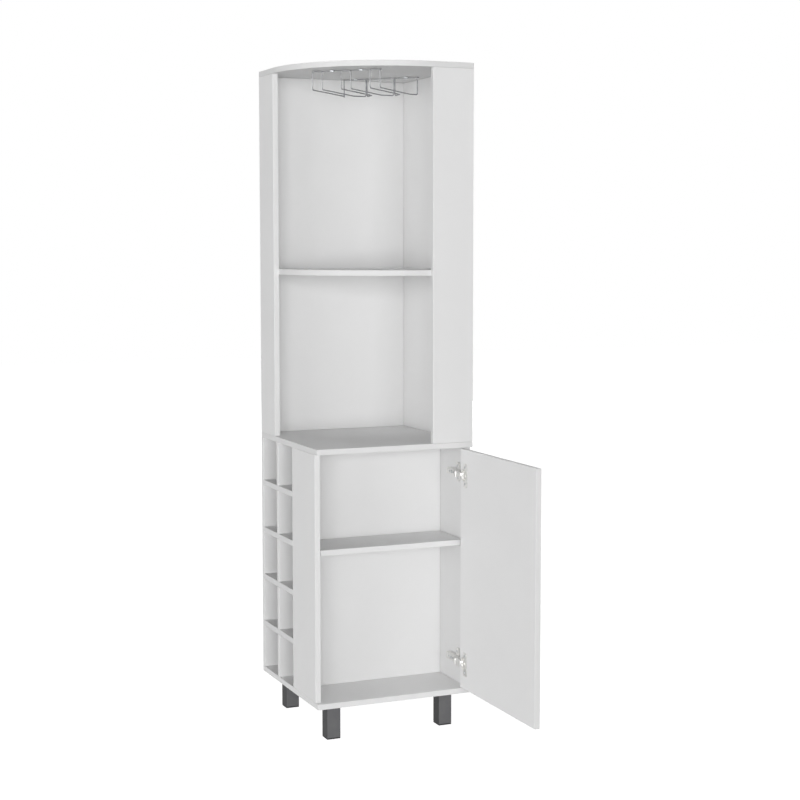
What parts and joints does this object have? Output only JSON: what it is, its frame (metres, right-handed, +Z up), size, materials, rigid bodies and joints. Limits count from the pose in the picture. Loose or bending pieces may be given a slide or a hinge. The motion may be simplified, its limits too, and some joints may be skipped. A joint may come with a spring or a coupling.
{
  "type": "corner bar cabinet",
  "caption": "Tall white corner bar cabinet with wine cubbies, a hinged door, open bays with a round front and a hanging glass rack, on short square feet.",
  "frame": {"origin": "on the floor, at the middle of the footprint of the cabinet with its door open at a right angle", "axes": "+Z up; -Y is the front, with the door; -X is the side with the open wine cubbies; the room corner is at +X and +Y"},
  "size_m": [0.45, 0.8816, 1.8],
  "materials": {
    "melamine": "white melamine-faced particleboard with matching edge band",
    "foot": "dark grey satin lacquer",
    "glide": "black felt pad",
    "rack_steel": "satin drawn wire",
    "nickel": "nickel plated pressed steel",
    "pin_steel": "zinc plated steel"
  },
  "bodies": {
    "cabinet": {"top_panel": "melamine", "middle_shelf": "melamine", "upper_back_panel": "melamine", "upper_side_panel": "melamine", "left_wing_panel": "melamine", "front_wing_panel": "melamine", "counter_top": "melamine", "bottom_panel": "melamine", "left_side_panel": "melamine", "right_side_panel": "melamine", "partition_panel": "melamine", "lower_back_panel": "melamine", "cubby_divider": "melamine", "cubby_shelf_1": "melamine", "cubby_shelf_2": "melamine", "cubby_shelf_3": "melamine", "cubby_shelf_4": "melamine", "compartment_shelf": "melamine", "shelf_pin_left_front": "pin_steel", "shelf_pin_left_back": "pin_steel", "shelf_pin_right_front": "pin_steel", "shelf_pin_right_back": "pin_steel", "foot_front_left": "foot", "foot_front_right": "foot", "foot_back_left": "foot", "foot_back_right": "foot", "foot_bolt_front_left": "pin_steel", "foot_bolt_front_right": "pin_steel", "foot_bolt_back_left": "pin_steel", "foot_bolt_back_right": "pin_steel", "glide_front_left": "glide", "glide_front_right": "glide", "glide_back_left": "glide", "glide_back_right": "glide", "rack_wire_1": "rack_steel", "rack_wire_2": "rack_steel", "rack_wire_3": "rack_steel", "rack_front_bar": "rack_steel", "rack_rear_bar": "rack_steel", "rack_clip_front_left": "rack_steel", "rack_clip_front_right": "rack_steel", "rack_clip_rear_left": "rack_steel", "rack_clip_rear_right": "rack_steel", "hinge_lower_arm": "nickel", "hinge_lower_arm_screw": "nickel", "hinge_lower_plate": "nickel", "hinge_upper_arm": "nickel", "hinge_upper_arm_screw": "nickel", "hinge_upper_plate": "nickel"},
    "hinge_links": {"hinge_lower_link": "nickel", "hinge_upper_link": "nickel"},
    "door": {"door_panel": "melamine", "hinge_lower_cup": "nickel", "hinge_lower_cup_screw_low": "nickel", "hinge_lower_cup_screw_high": "nickel", "hinge_upper_cup": "nickel", "hinge_upper_cup_screw_low": "nickel", "hinge_upper_cup_screw_high": "nickel"}
  },
  "joints": [
    {"name": "link_swing", "type": "hinge", "parent": "cabinet", "child": "hinge_links", "pos_m": [0.183, 0.01009, 0.444], "axis": [0, 0, 1], "range_deg": [-5.72, 51.41]},
    {"name": "door_turn", "type": "hinge", "parent": "hinge_links", "child": "door", "pos_m": [0.19352, -0.01479, 0.444], "axis": [0, 0, 1], "range_deg": [-141.4, 15.71]}
  ],
  "couplings": [
    {"joint": "link_swing", "follows": "door_turn", "ratio": -0.36351}
  ]
}
